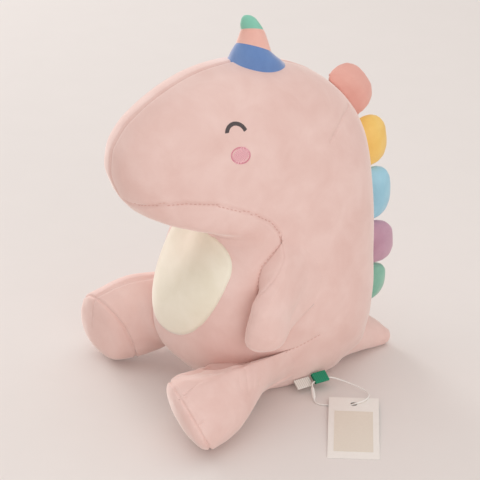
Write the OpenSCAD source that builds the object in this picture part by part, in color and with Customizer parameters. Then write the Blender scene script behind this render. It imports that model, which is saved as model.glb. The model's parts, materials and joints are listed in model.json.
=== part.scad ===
// Sitting stuffed dinosaur of short plush with a horn, a row of padded spine scales and a hang tag.
// The toy faces -Y, its left side is +X, and the floor it sits on is Z = 0.

/* [Head and body] */
// Height of the crown above the floor
crown_z = 345; // [300:1:420]
// Reach of the snout in front of the origin
snout_reach = 170; // [140:1:220]
// Height of the foremost point of the snout
snout_z = 276; // [225:1:290]
// Reach of the chin, where the mouth seam starts
chin_reach = 146; // [110:1:175]
// Height of the chin at that point
chin_z = 215; // [185:1:225]
// Reach of the crease between chin and belly
neck_reach = 82; // [60:1:95]
// Height of that crease
neck_z = 194; // [160:1:195]
// Reach of the belly
belly_reach = 105; // [85:1:130]
// Height of the fullest part of the belly
belly_z = 82; // [60:1:130]
// Reach of the back behind the origin
back_reach = 115; // [90:1:135]
// Width of the body at the belly
body_width = 186; // [160:1:260]
// Width of the head above the cheeks
head_width = 164; // [140:1:220]
// Width of the snout near its end
snout_width = 150; // [110:1:200]
// Thickness of the plush
plush_t = 2; // [1.2:0.1:4]

/* [Arms] */
// Height of the shoulder point
shoulder_z = 199; // [180:1:220]
// Length of the arm
arm_length = 112; // [80:1:140]
// Width of the hand
arm_width = 52; // [36:1:66]
// Thickness of the hand
arm_t = 34; // [20:1:46]

/* [Legs] */
// Distance between the middles of the feet
foot_spread = 198; // [150:1:220]
// Reach of the sole seam in front of the origin
foot_reach = 133; // [120:1:170]
// Radius of the foot at the sole seam
foot_r = 40; // [28:1:46]
// Radius of the leg at the hip
hip_r = 25; // [18:1:34]
// How far the sole bulges
sole_bulge = 13; // [4:1:16]

/* [Horn] */
// Length of the horn
horn_length = 44; // [30:1:70]
// Radius of the flared base
horn_base_r = 29; // [18:1:38]
// Radius near the tip
horn_tip_r = 9.5; // [4:0.5:12]

/* [Spine scales] */
// How far a full-size scale stands out from the back
scale_height = 31; // [24:1:50]
// Thickness of a scale
scale_t = 22; // [12:1:30]

/* [Tail] */
// Reach of the tail tip behind the origin
tail_reach = 143; // [120:1:170]

/* [Face] */
// Radius of the closed eye's arc
eye_r = 10; // [6:0.5:14]
// Radius of the cheek
cheek_r = 10; // [6:0.5:14]

/* [Hang tag] */
// Length of the card
card_length = 106; // [70:1:120]
// Width of the card
card_width = 50; // [36:1:60]
// Diameter of the string
string_d = 1.5; // [1:0.1:2]

/* [Hidden] */

seam_gap = 0.2;
fill_gap = 0.8;
core_gap = 4;
joint_gap = 0.6;
roundness = 2.2;
shoulder_y = -27;

// The side outline runs around a hub in the middle of the toy, from the seat up the belly,
// over snout and crown and down the back. Each point is [y, z].
hub = [-27, 199];
seat_front = 62;
seat_back = 96;
brow_back = 58;
brow_drop = 15;
crown_y = -16;
nape_in = 19;
nape_drop = 70;
back_in = 2;
loin_z = 122;
haunch_in = 1;
haunch_drop = 30;
rump_in = 9;
rump_z = 22;
outline = [
  [-seat_front, 0],
  [-belly_reach, belly_z],
  [-neck_reach, neck_z],
  [-chin_reach, chin_z],
  [-snout_reach, snout_z],
  [brow_back - snout_reach, crown_z - brow_drop],
  [crown_y, crown_z],
  [back_reach - nape_in, crown_z - nape_drop],
  [back_reach - back_in, hub[1]],
  [back_reach, loin_z],
  [back_reach - haunch_in, belly_z - haunch_drop],
  [back_reach - rump_in, rump_z],
  [seat_back, 0]
];
function around(p) = let (a = atan2(hub[0] - p[0], hub[1] - p[1])) a < 0 ? a + 360 : a;
spokes = [for (p = outline) [around(p), norm(p - hub)]];
function spoke(i) = let (n = len(spokes), k = (i + n) % n)
  [spokes[k][0] + (i < 0 ? -360 : i >= n ? 360 : 0), spokes[k][1]];
function slope(i) = (spoke(i + 1)[1] - spoke(i - 1)[1]) / (spoke(i + 1)[0] - spoke(i - 1)[0]);
function hermite(a, b, ma, mb, t) = a * (2 * t * t * t - 3 * t * t + 1) + ma * (t * t * t - 2 * t * t + t)
  + b * (3 * t * t - 2 * t * t * t) + mb * (t * t * t - t * t);
function turned(a) = a < spokes[0][0] ? turned(a + 360) : a >= spokes[0][0] + 360 ? turned(a - 360) : a;
// Distance from the hub to the outline in direction a (0 down, 90 forward, 180 up, 270 back).
function reach(a) = let (f = turned(a), i = len([for (s = spokes) if (s[0] <= f) 1]) - 1,
  h = spoke(i + 1)[0] - spoke(i)[0])
  hermite(spoke(i)[1], spoke(i + 1)[1], slope(i) * h, slope(i + 1) * h, (f - spoke(i)[0]) / h);

function mix(a, b, t) = a * (1 - t) + b * t;
function ease(t) = let (c = min(1, max(0, t))) c * c * (3 - 2 * c);
function unit(v) = v / norm(v);
function back_to_front(v) = [for (i = [len(v) - 1:-1:0]) v[i]];

// Half the width at a point of the side view: body below, head above, snout in front.
face_y = 40;
snout_flat = 20;
function half_width(y, z) = let (
  forward = (-y - face_y) / (snout_reach - face_y - snout_flat),
  head = mix(head_width, snout_width, ease(forward)))
  mix(body_width, head, ease((z - belly_z) / (snout_z - belly_z))) / 2;

// A point of the skin: direction a around the hub and angle s from the left flank (0) over the
// centre seam (90) to the right flank (180); inset moves it inwards.
function skin(a, s, inset = 0) = let (
  share = pow(sin(s), 2 / roundness),
  r = share * (reach(a) - inset),
  y = hub[0] - r * sin(a),
  z = hub[1] - r * cos(a),
  x = (half_width(y, z) - inset) * pow(abs(cos(s)), 2 / roundness))
  [s > 90 ? -x : x, y, max(z, plush_t + seam_gap + inset)];

// Below zero inside the skin, above zero outside.
function outside(p) = let (q = [p[1], p[2]], a = around(q))
  pow(abs(p[0]) / half_width(p[1], p[2]), roundness) + pow(norm(q - hub) / reach(a), roundness) - 1;
function cross_at(p, d, low, high, n) = let (m = (low + high) / 2)
  n == 0 ? m : outside(p + d * m) < 0 ? cross_at(p, d, m, high, n - 1) : cross_at(p, d, low, m, n - 1);
// Where the line from p (inside) along d leaves the skin.
function seat(p, d, far) = cross_at(p, d, 0, far, 16);

// Left flank as a height over the side view, and its outward direction.
function flank(y, z) = let (q = [y, z])
  half_width(y, z) * pow(max(0, 1 - pow(norm(q - hub) / reach(around(q)), roundness)), 1 / roundness);
function flank_out(y, z) = unit([1, (flank(y - 1, z) - flank(y + 1, z)) / 2,
  (flank(y, z - 1) - flank(y, z + 1)) / 2]);

// Solid through a list of rings that turn left as seen from the end of the loft. Its ends are closed
// by fans, or edge to edge on thin curved rings ("strip"), or joined to each other ("joined").
module loft(rings, ends = "fan") {
  n = len(rings[0]);
  m = len(rings);
  top = (m - 1) * n;
  mids = [for (r = [rings[0], rings[m - 1]])
    [for (c = [0:2]) [for (p = r) p[c]] * [for (p = r) 1 / n]]];
  walls = [for (i = [0:ends == "joined" ? m - 1 : m - 2], j = [0:n - 1])
    let (k = (j + 1) % n, a = i * n, b = (a + n) % (m * n))
    each [[a + j, b + j, b + k], [a + j, b + k, a + k]]];
  fans = [for (j = [0:n - 1]) let (k = (j + 1) % n)
    each [[j, k, m * n], [top + k, top + j, m * n + 1]]];
  strips = [for (j = [0:n / 2 - 2]) let (o = n - 1 - j) each [[j, j + 1, o - 1], [j, o - 1, o],
    [top + j + 1, top + j, top + o - 1], [top + o - 1, top + j, top + o]]];
  closing = ends == "fan" ? fans : ends == "strip" ? strips : [];
  points = concat([for (r = rings) each r], ends == "fan" ? mids : []);
  polyhedron(points, concat(walls, closing), convexity = 6);
}

// A filling has half as many sides as the cover around it.
function thinned(rings) = [for (r = rings) [for (k = [0:2:len(r) - 1]) r[k]]];

// Fabric between an outer and an inner skin, each a list of rings: a bag is open at its first rings,
// a sleeve at both ends, and a panel covers the ring points from i to j only.
module bag(outer, inner) loft(concat(back_to_front(inner), outer));
module sleeve(outer, inner) loft(concat(outer, back_to_front(inner)), "joined");
module panel(outer, inner, i, j) {
  n = len(outer[0]);
  loft([for (k = [0:len(outer) - 1]) concat([for (p = [i:j]) outer[k][p % n]],
    [for (p = [j:-1:i]) inner[k][p % n]])], "strip");
}
module mirrored() mirror([1, 0, 0]) children();

// Seams of the body, each from the shoulder to the side outline: [direction there, direction here].
neck_dir = around([-neck_reach, neck_z]);
mouth_seam = [135, 103];
neck_seam = [neck_dir, neck_dir];
floor_dir = around([-seat_front, 0]);
side_seam = [floor_dir, floor_dir];
pole = 0.6;
seam_turn = 0.12;
floor_z = plush_t + seam_gap;

// Angle on the skin where it reaches the base panel.
function floor_angle(a) = let (d = reach(a) * cos(a), drop = hub[1] - floor_z)
  d <= drop ? 90 : asin(pow(drop / d, roundness / 2));
// Direction at share t of the way from seam a to seam b, where the skin is at angle s.
function between(a, b, t, s) = let (r = pow(sin(s), 2 / roundness))
  mix(mix(a[0], a[1], r) + seam_turn, mix(b[0], b[1], r) - seam_turn, t);
function row(a, b, t, from, to, inset, steps) = [for (k = [0:steps])
  let (s = mix(from, to, k / steps)) skin(turned(between(a, b, t, s)), s, inset)];
// A row of a panel runs over the outer skin and back under the inner skin.
function folded(a, b, t, from, to, steps) = concat(row(a, b, t, from, to, 0, steps),
  back_to_front(row(a, b, t, from, to, plush_t, steps)));
side_rows = 30;
side_steps = 7;
chin_rows = 6;
belly_rows = 6;
front_steps = 14;
centre_gap = 0.15;
module side_panel() {
  low = [side_seam[0] + 360, side_seam[1] + 360];
  loft([for (k = [0:side_rows]) let (
    t = 1 - k / side_rows,
    end = floor_angle(turned(between(mouth_seam, low, t, 90))) - centre_gap)
    folded(mouth_seam, low, t, pole, end, side_steps)], "strip");
}
module front_panel(a, b, rows) loft([for (k = [0:rows])
  folded(a, b, k / rows, 180 - pole, pole, front_steps)], "strip");
module left_side_panel() color("#ebc7bb") side_panel();
module right_side_panel() color("#ebc7bb") mirrored() side_panel();
module chin_panel() color("#dcb0a7") front_panel(neck_seam, mouth_seam, chin_rows);
module belly_panel() color("#e4bcb2") front_panel(side_seam, neck_seam, belly_rows);

// Flat seat: the outline in which the skin meets the base.
function floor_edge(a) = let (p = skin(a, floor_angle(a), 0)) [p[0], p[1]];
base_steps = 24;
base_from = -26;
base_to = 16;
edge_angle = 89;
base_dirs = [for (k = [0:base_steps]) turned(mix(base_from, base_to, k / base_steps))];
base_half = [for (a = base_dirs) if (floor_angle(a) < edge_angle) floor_edge(a)];
module base_panel() color("#dfb6ac") linear_extrude(plush_t)
  polygon(concat(base_half, [for (p = back_to_front(base_half)) [-p[0], p[1]]]));

// Filling of the head above the neck crease and of the body below it.
nape_dir = 262;
fill_inset = plush_t + fill_gap;
core_rows = 12;
core_steps = 10;
module filling(from, to) loft([for (i = [0:core_rows]) let (
  a = mix(from + seam_gap, to - seam_gap, i / core_rows))
  [for (k = [0:core_steps])
    skin(turned(a), mix(180 - pole, pole, k / core_steps), plush_t + core_gap)]]);
module head_filling() color("#f4f1ea") filling(neck_dir, nape_dir);
module body_filling() color("#f4f1ea") filling(nape_dir, neck_dir + 360);

// Belly patch, an egg shape in the front view laid on the belly: [half width, height above and below].
patch_t = 1.2;
patch_lift = 1.1;
patch_half = [65, 40, 67];
patch_at = [4, 148];
patch_sides = 20;
patch_shares = [1, 0.8, 0.55, 0.22];
unit_axes = [[1, 0, 0], [0, 1, 0], [0, 0, 1]];
function out_dir(p) = unit([for (e = unit_axes) outside(p + e) - outside(p - e)]);
function on_front(x, z, lift) = let (
  p = [x, hub[0], z],
  q = p - [0, seat(p, [0, -1, 0], belly_reach * 2), 0])
  q + out_dir(q) * lift;
function patch_ring(share, lift) = [for (k = [0:patch_sides - 1]) let (a = 360 * k / patch_sides,
  high = sin(a) > 0 ? patch_half[1] : patch_half[2])
  on_front(patch_at[0] + patch_half[0] * share * cos(a),
    patch_at[1] + high * share * sin(a), lift)];
function patch_skin(lift) = [for (r = patch_shares) patch_ring(r, lift)];
module belly_patch() color("#efe6d2") bag(patch_skin(patch_lift + patch_t), patch_skin(patch_lift));

// Embroidery on the left flank: a closed eye and a cheek below it
eye_at = [-68, crown_z - 47];
cheek_at = [-70, crown_z - 65];
thread_t = 1.2;
thread_lift = 0.3;
eye_w = 3.6;
eye_steps = 10;
eye_ends = [10, 170];
cheek_sides = 16;
function on_flank(c, r, a, lift) = let (y = c[0] + r * cos(a), z = c[1] + r * sin(a))
  [flank(y, z) + lift, y, z];
function eye_ring(a) = let (inner = eye_r - eye_w / 2, outer = eye_r + eye_w / 2)
  [on_flank(eye_at, inner, a, thread_lift), on_flank(eye_at, outer, a, thread_lift),
   on_flank(eye_at, outer, a, thread_t), on_flank(eye_at, inner, a, thread_t)];
function cheek_ring(r, lift) = [for (k = [0:cheek_sides - 1])
  on_flank(cheek_at, r, 360 * k / cheek_sides, lift)];
module eye() color("#5b5152")
  loft([for (k = [0:eye_steps]) eye_ring(mix(eye_ends[1], eye_ends[0], k / eye_steps))]);
module cheek() color("#dea6ac") loft([
  cheek_ring(cheek_r / 3, thread_lift), cheek_ring(cheek_r, thread_lift),
  cheek_ring(cheek_r, thread_t), cheek_ring(cheek_r / 3, thread_t + thread_lift)]);
module left_eye() eye();
module right_eye() mirrored() eye();
module left_cheek() cheek();
module right_cheek() mirrored() cheek();

// Arm: a flat bag that hangs from the shoulder and lies against the flank.
arm_lean = -30;
arm_rings = 7;
arm_sides = 12;
arm_full = 0.62;
arm_end = 0.995;
hand_power = 2.4;
arm_root_w = 10;
arm_root_t = 5.4;
arm_min = 0.4;
// Half the width or thickness at share u of the length, from a small root to a full round hand.
function arm_half(root, full, u) = u < arm_full ? mix(root, full, sin(90 * u / arm_full)) / 2
  : full / 2 * sqrt(max(0, 1 - pow((u - arm_full) / (1 - arm_full), hand_power)));
function arm_ring(u, inset) = let (
  y = shoulder_y + arm_lean * u,
  z = shoulder_z - arm_length * u,
  out = flank_out(y, z),
  across = unit(cross([0, arm_lean, -arm_length], out)),
  half_t = arm_half(arm_root_t, arm_t, u),
  b = max(arm_min, arm_half(arm_root_w, arm_width, u) - inset),
  h = max(arm_min, half_t - inset),
  mid = [flank(y, z), y, z] + out * (half_t + joint_gap))
  [for (k = [0:arm_sides - 1]) let (a = 360 * k / arm_sides) mid - across * b * cos(a) + out * h * sin(a)];
function arm_skin(inset, last) = [for (k = [0:arm_rings])
  arm_ring(mix(0, last, sin(90 * k / arm_rings)), inset)];
module arm_panel(from, to) panel(arm_skin(0, arm_end), arm_skin(plush_t, arm_end), from, to);
module arm_outer() arm_panel(0, arm_sides / 2);
module arm_inner() arm_panel(arm_sides / 2, arm_sides);
module arm_filling() loft(thinned([for (k = [0:arm_rings - 1])
  arm_skin(fill_inset, arm_end)[k]]));
module left_arm_outer() color("#ebc7bb") arm_outer();
module left_arm_inner() color("#e4bcb2") arm_inner();
module left_arm_filling() color("#f4f1ea") arm_filling();
module right_arm_outer() color("#ebc7bb") mirrored() arm_outer();
module right_arm_inner() color("#e4bcb2") mirrored() arm_inner();
module right_arm_filling() color("#f4f1ea") mirrored() arm_filling();

// Leg: a sleeve from the hip to the sole seam, closed by a domed sole. Each is given for the left side
// as [hip inside the body, middle of the sole seam]; the two lie a little differently on the floor.
toe_drop = 3;
toe = [foot_spread / 2, -foot_reach, foot_r - toe_drop];
leg_twist = 6;
left_leg = [[64, -52, 43], toe - [leg_twist / 2, leg_twist, 0]];
right_leg = [[66, -50, 57], toe + [leg_twist, leg_twist, 0]];
sole_dir = unit([-0.15, -0.87, -0.4]);
leg_rings = 4;
leg_sides = 16;
leg_swell = 7;
leg_fill_shares = [0, 0.33, 0.67, 0.97];
// Inner rings of a filling's root face, which follows the skin it stands on
root_cores = [0.1, 0.55];
sole_turns = [0, 35, 70];
function rest(p, low) = [p[0], p[1], max(p[2], low)];
// Directions across an axis: k of n steps around it, starting sideways and going down first.
function spread(dir, k, n) = let (side = unit(cross(dir, [0, 0, 1])))
  side * cos(360 * k / n) - cross(side, dir) * sin(360 * k / n);
function leg_ring(leg, s, inset, gap, core = 1) = let (way = leg[1] - leg[0], dir = unit(way))
  [for (k = [0:leg_sides - 1]) let (
    d = spread(dir, k, leg_sides),
    near = leg[0] + d * (hip_r - inset) * core,
    root = near + dir * (seat(near, dir, norm(way)) + gap),
    rim = leg[1] + spread(sole_dir, k, leg_sides) * (foot_r - inset))
    rest(mix(root, rim, s) + d * leg_swell * sin(180 * s), inset)];
function leg_skin(leg, inset) = [for (k = [0:leg_rings]) leg_ring(leg, k / leg_rings, inset, joint_gap)];
module leg_panel(leg, from, to) panel(leg_skin(leg, 0), leg_skin(leg, plush_t), from, to);
module leg_outer(leg) leg_panel(leg, leg_sides / 4, 3 * leg_sides / 4);
module leg_inner(leg) leg_panel(leg, 3 * leg_sides / 4, 5 * leg_sides / 4);
function sole_ring(leg, b, inset) = [for (k = [0:leg_sides - 1])
  rest(leg[1] + sole_dir * (seam_gap + (sole_bulge - inset) * sin(b))
    + spread(sole_dir, k, leg_sides) * (foot_r - inset) * cos(b), inset)];
function sole_skin(leg, inset) = [for (b = sole_turns) sole_ring(leg, b, inset)];
module sole(leg) bag(sole_skin(leg, 0), sole_skin(leg, plush_t));
module leg_filling(leg) loft(thinned(concat(
  [for (c = root_cores) leg_ring(leg, 0, fill_inset, joint_gap + fill_gap, c)],
  [for (s = leg_fill_shares) leg_ring(leg, s, fill_inset, joint_gap + fill_gap)],
  sole_skin(leg, fill_inset))));
module left_leg_outer() color("#eccbc1") leg_outer(left_leg);
module left_leg_inner() color("#e4bcb2") leg_inner(left_leg);
module left_sole() color("#e8c2b8") sole(left_leg);
module left_leg_filling() color("#f4f1ea") leg_filling(left_leg);
module right_leg_outer() color("#eccbc1") mirrored() leg_outer(right_leg);
module right_leg_inner() color("#e4bcb2") mirrored() leg_inner(right_leg);
module right_sole() color("#e8c2b8") mirrored() sole(right_leg);
module right_leg_filling() color("#f4f1ea") mirrored() leg_filling(right_leg);

// Horn: three bands over one filling, standing on the crown.
horn_y = 0;
horn_lean = 11;
horn_sides = 12;
horn_depth = 60;
horn_dir = [0, -sin(horn_lean), cos(horn_lean)];
horn_front = [0, -cos(horn_lean), -sin(horn_lean)];
horn_foot = [0, horn_y, crown_z - horn_depth];
horn_top = horn_depth + horn_length - horn_tip_r;
horn_flare = 1.3;
band_edges = [0.46, 0.94];
band_gap = 0.004;
horn_slack = 0.7;
horn_fill_inset = fill_inset + horn_slack;
horn_fill_shares = [0, 0.12, 0.24, band_edges[0], band_edges[1], 1];
cap_turns = [35, 70];
function horn_r(s) = mix(horn_tip_r, horn_base_r, pow(1 - s, horn_flare));
function horn_ring(s, inset, core = 1, gap = seam_gap) = [for (k = [0:horn_sides - 1]) let (
  a = 360 * k / horn_sides,
  d = [1, 0, 0] * cos(a) - horn_front * sin(a),
  root = seat(horn_foot + d * (horn_base_r - inset) * core, horn_dir, horn_top) + gap)
  horn_foot + d * (horn_r(s) - inset) * core + horn_dir * mix(root, horn_top, s)];
function horn_rings(from, to, inset, rings) = [for (k = [0:rings])
  horn_ring(mix(from, to, k / rings), inset)];
function horn_cap(inset) = [for (b = cap_turns) [for (p = horn_ring(1, inset))
  let (mid = horn_foot + horn_dir * horn_top)
  mid + (p - mid) * cos(b) + horn_dir * (horn_tip_r - inset) * sin(b)]];
function horn_end(inset) = concat(horn_rings(band_edges[1], 1, inset, 2), horn_cap(inset));
module band(from, to, rings)
  sleeve(horn_rings(from, to - band_gap, 0, rings), horn_rings(from, to - band_gap, plush_t, rings));
module horn_base_band() color("#738fba") band(0, band_edges[0], 3);
module horn_middle_band() color("#ebb8ac") band(band_edges[0], band_edges[1], 2);
module horn_tip() color("#8dc7b4") bag(horn_end(0), horn_end(plush_t));
module horn_filling() color("#f4f1ea") loft(thinned(concat(
  [for (c = root_cores) horn_ring(0, horn_fill_inset, c, seam_gap + fill_gap)],
  [for (s = horn_fill_shares) horn_ring(s, horn_fill_inset, 1, seam_gap + fill_gap)],
  horn_cap(horn_fill_inset))));

// Tail: a short bag behind the seat that lies on the floor.
tail_root = [0, 60, 38];
tail_root_half = [34, 26];
tail_tip_r = 9;
tail_lift = 1;
tail_aside = 14;
tail_gap = 1.2;
tail_end = [tail_aside, tail_reach - tail_tip_r, tail_tip_r + tail_lift];
tail_dir = unit(tail_end - tail_root);
tail_far = norm(tail_end - tail_root);
tail_up = unit(cross([1, 0, 0], tail_dir));
tail_sides = 12;
tail_rings = 4;
tail_taper = 0.8;
function tail_w(s) = mix(tail_root_half[0], tail_tip_r, ease(s));
function tail_h(s) = mix(tail_root_half[1], tail_tip_r, pow(s, tail_taper));
function tail_off(s, a, inset) = [1, 0, 0] * (tail_w(s) - inset) * cos(a)
  - tail_up * (tail_h(s) - inset) * sin(a);
function tail_ring(s, inset, gap, core = 1) = [for (k = [0:tail_sides - 1]) let (
  a = 360 * k / tail_sides,
  root = seat(tail_root + tail_off(0, a, inset) * core, tail_dir, tail_far) + gap)
  rest(tail_root + tail_dir * mix(root, tail_far, s) + tail_off(s, a, inset) * core, inset)];
function tail_cap(inset) = [for (b = cap_turns) [for (p = tail_ring(1, inset, 0))
  rest(tail_end + (p - tail_end) * cos(b) + tail_dir * (tail_tip_r - inset) * sin(b), inset)]];
function tail_skin(inset, gap) = concat(
  [for (k = [0:tail_rings]) tail_ring(k / tail_rings, inset, gap)], tail_cap(inset));
module tail_cover() color("#d6b5ab") bag(tail_skin(0, tail_gap), tail_skin(plush_t, tail_gap));
module tail_filling() color("#f4f1ea") loft(thinned(concat(
  [for (c = root_cores) tail_ring(0, fill_inset, tail_gap + fill_gap, c)],
  tail_skin(fill_inset, tail_gap + fill_gap))));

// Spine scales in the back seam: [direction of the base around the hub, half of it, height share].
scales = [
  [232.6, 11.9, 0.97],
  [257.2, 11.9, 1],
  [280.4, 10.5, 1],
  [299, 7.3, 1],
  [311.6, 4.7, 0.92]
];
scale_sides = 12;
scale_base_t = 3;
scale_skin_t = 1.2;
scale_gap = 1.6;
scale_min = 0.3;
scale_round = 3;
swell_power = 0.8;
scale_shares = [0, 0.22, 0.5, 0.78, 0.96];
scale_fill_shares = [0.2, 0.5, 0.78, 0.92];
function back_point(a, up) = let (r = reach(a) + up) [0, hub[0] - r * sin(a), hub[1] - r * cos(a)];
function scale_chord(i) = let (s = scales[i])
  back_point(s[0] + s[1], 0) - back_point(s[0] - s[1], 0);
function scale_out(i) = unit(cross([1, 0, 0], scale_chord(i)));
function scale_ring(i, u, inset) = let (
  s = scales[i],
  full = pow(max(0, 1 - pow(u, scale_round)), 1 / scale_round),
  wide = s[1] * (full - inset / (norm(scale_chord(i)) / 2)),
  swell = sin(180 * pow(u, swell_power)),
  thick = mix(scale_base_t, scale_t, swell) / 2 - inset)
  [for (k = [0:scale_sides - 1]) let (c = 360 * k / scale_sides)
    back_point(s[0] + max(scale_min, wide) * cos(c), scale_gap)
    + scale_out(i) * u * (scale_height * s[2] - inset) - [max(scale_min, thick) * sin(c), 0, 0]];
function scale_skin(i, inset) = [for (u = scale_shares) scale_ring(i, u, inset)];
module scale_cover(i) bag(scale_skin(i, 0), scale_skin(i, scale_skin_t));
module scale_filling(i) loft([for (u = scale_fill_shares) scale_ring(i, u, scale_skin_t + fill_gap)]);
module scale_1_cover() color("#dea296") scale_cover(0);
module scale_2_cover() color("#ecc06f") scale_cover(1);
module scale_3_cover() color("#97bfcd") scale_cover(2);
module scale_4_cover() color("#b991a1") scale_cover(3);
module scale_5_cover() color("#82ac9b") scale_cover(4);
module scale_1_filling() color("#f4f1ea") scale_filling(0);
module scale_2_filling() color("#f4f1ea") scale_filling(1);
module scale_3_filling() color("#f4f1ea") scale_filling(2);
module scale_4_filling() color("#f4f1ea") scale_filling(3);
module scale_5_filling() color("#f4f1ea") scale_filling(4);

// Two bare labels sewn in above the base on the left, each a strip folded in half.
label_t = 0.5;
label_lean = 30;
label_gap = 0.4;
care_at = [11, 12];
care_size = [18, 11];
care_fold = 0.4;
tab_at = [29.5, 15];
tab_size = [16, 12];
string_room = 0.8;
tab_fold = string_d + string_room;
label_facets = 24;
function label_x(at, wide) = max([for (k = [-1:1]) flank(at[0] + k * wide / 2, at[1])]) + label_gap;
module strip_edge(long, fold) difference() {
  hull() {
    translate([0, -fold / 2 - label_t]) square([label_t, fold + 2 * label_t]);
    translate([long - fold / 2 - label_t, 0]) circle(fold / 2 + label_t, $fn = label_facets);
  }
  hull() {
    translate([-label_t, -fold / 2]) square([label_t, fold]);
    translate([long - fold / 2 - label_t, 0]) circle(fold / 2, $fn = label_facets);
  }
}
module folded_label(at, size, fold) translate([label_x(at, size[0]), at[0], at[1]])
  rotate([90, label_lean, 0]) linear_extrude(size[0], center = true) strip_edge(size[1], fold);
module care_label() color("#f3f0ea") folded_label(care_at, care_size, care_fold);
module seam_tab() color("#1f8f6b") folded_label(tab_at, tab_size, tab_fold);

// Hang tag on the floor beside the toy, placed from the root of the tab.
tag_x = label_x(tab_at, tab_size[0]);
card_at = [45, 45, 3.4];
card_turn = -33;
card_tilt = 1.75;
card_t = 0.6;
hole_in = 11.6;
hole_r = 3.5;
sticker_edges = [25, 11];
sticker_side = 6;
sticker_t = 0.2;
sticker_gap = 0.05;
module on_card() translate([tag_x, 0, 0] + card_at) rotate([0, 0, card_turn]) rotate([0, card_tilt, 0])
  children();
module tag_card() color("#f6f3ee") on_card() linear_extrude(card_t) difference() {
  translate([0, -card_width / 2]) square([card_length, card_width]);
  translate([hole_in, 0]) circle(hole_r, $fn = label_facets);
}
module tag_sticker() color("#e9dfcb") on_card() translate([sticker_edges[0], 0, card_t + sticker_gap])
  linear_extrude(sticker_t) translate([0, sticker_side - card_width / 2])
  square([card_length - sticker_edges[0] - sticker_edges[1], card_width - 2 * sticker_side]);

// String loop from the far end of its lock, through the card and the fold of the tab, to the near end.
lock_ends = [[13, 15.8, 8.1], [25, 10.5, 3]];
lock_r = 1.8;
lock_neck_r = 1.2;
lock_shares = [[0, lock_neck_r], [0.14, lock_r], [0.86, lock_r], [1, lock_neck_r]];
string_sides = 8;
string_steps = 2;
end_gap = 0.02;
route = [
  [25, 10.5, 3], [27.6, 9.3, 1.9], [32, 9.8, 1.1], [36.5, 13, 1], [40, 17.5, 1], [45.5, 25.5, 1],
  [49, 31.3, 1.2], [52, 35, 2], [54.7, 38.7, 3.4], [56.8, 42.5, 5], [57.6, 47, 5.8], [56, 52.5, 5.6],
  [52.5, 57.5, 5], [46.5, 61.5, 4.3], [38.5, 62.5, 4], [29, 59, 5], [21, 54.5, 6.2], [14, 48.5, 8],
  [9.2, 42.5, 9.8], [7.8, 37, 10.5], [7.8, 30, 10.5], [7.8, 23, 10.5], [8.4, 19.6, 10.1],
  [9.8, 17.6, 9.5], [13, 15.8, 8.1]
];
function route_point(i) = let (last = len(route) - 1) i < 0 ? 2 * route[0] - route[1]
  : i > last ? 2 * route[last] - route[last - 1] : route[i];
function route_way(i) = (route_point(i + 1) - route_point(i - 1)) / 2;
function along(i, t) = hermite(route_point(i), route_point(i + 1), route_way(i), route_way(i + 1), t);
function string_at(k) = along(floor(k / string_steps), k / string_steps - floor(k / string_steps));
function circle_at(p, dir, r) = [for (k = [0:string_sides - 1]) p + spread(dir, k, string_sides) * r];
string_rings = (len(route) - 1) * string_steps;
near_step = 0.1;
function string_dir(k) = unit(string_at(k + near_step) - string_at(k - near_step));
module tag_cord() color("#f4f2ee") translate([tag_x, 0, 0]) loft([for (k = [0:string_rings])
  circle_at(string_at(k) + string_dir(k) * (k == 0 ? end_gap : k == string_rings ? -end_gap : 0),
    string_dir(k), string_d / 2)]);
module cord_lock() color("#fbfaf7") translate([tag_x, 0, 0]) loft([for (s = lock_shares)
  circle_at(mix(lock_ends[0], lock_ends[1], s[0]), unit(lock_ends[1] - lock_ends[0]), s[1])]);

left_side_panel();
right_side_panel();
chin_panel();
belly_panel();
base_panel();
head_filling();
body_filling();
belly_patch();
left_eye();
right_eye();
left_cheek();
right_cheek();
left_arm_outer();
left_arm_inner();
left_arm_filling();
right_arm_outer();
right_arm_inner();
right_arm_filling();
left_leg_outer();
left_leg_inner();
left_sole();
left_leg_filling();
right_leg_outer();
right_leg_inner();
right_sole();
right_leg_filling();
horn_base_band();
horn_middle_band();
horn_tip();
horn_filling();
tail_cover();
tail_filling();
scale_1_cover();
scale_1_filling();
scale_2_cover();
scale_2_filling();
scale_3_cover();
scale_3_filling();
scale_4_cover();
scale_4_filling();
scale_5_cover();
scale_5_filling();
care_label();
seam_tab();
tag_card();
tag_sticker();
tag_cord();
cord_lock();
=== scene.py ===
# %% [markdown]
# A sitting stuffed dinosaur: sewn plush skins over fibre filling, a horn, five padded scales down the
# back and a hang tag on a string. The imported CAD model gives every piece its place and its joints.
# This lesson dresses those solids as cloth: each skin is copied, blown up like a stuffed bag, and
# then sewn, so that seams, stitches and nap are where a toy maker's would be.

# %% Load the frame
import json
import math
import bpy
import numpy as np
from mathutils import Matrix, Vector
from mathutils.bvhtree import BVHTree

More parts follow.
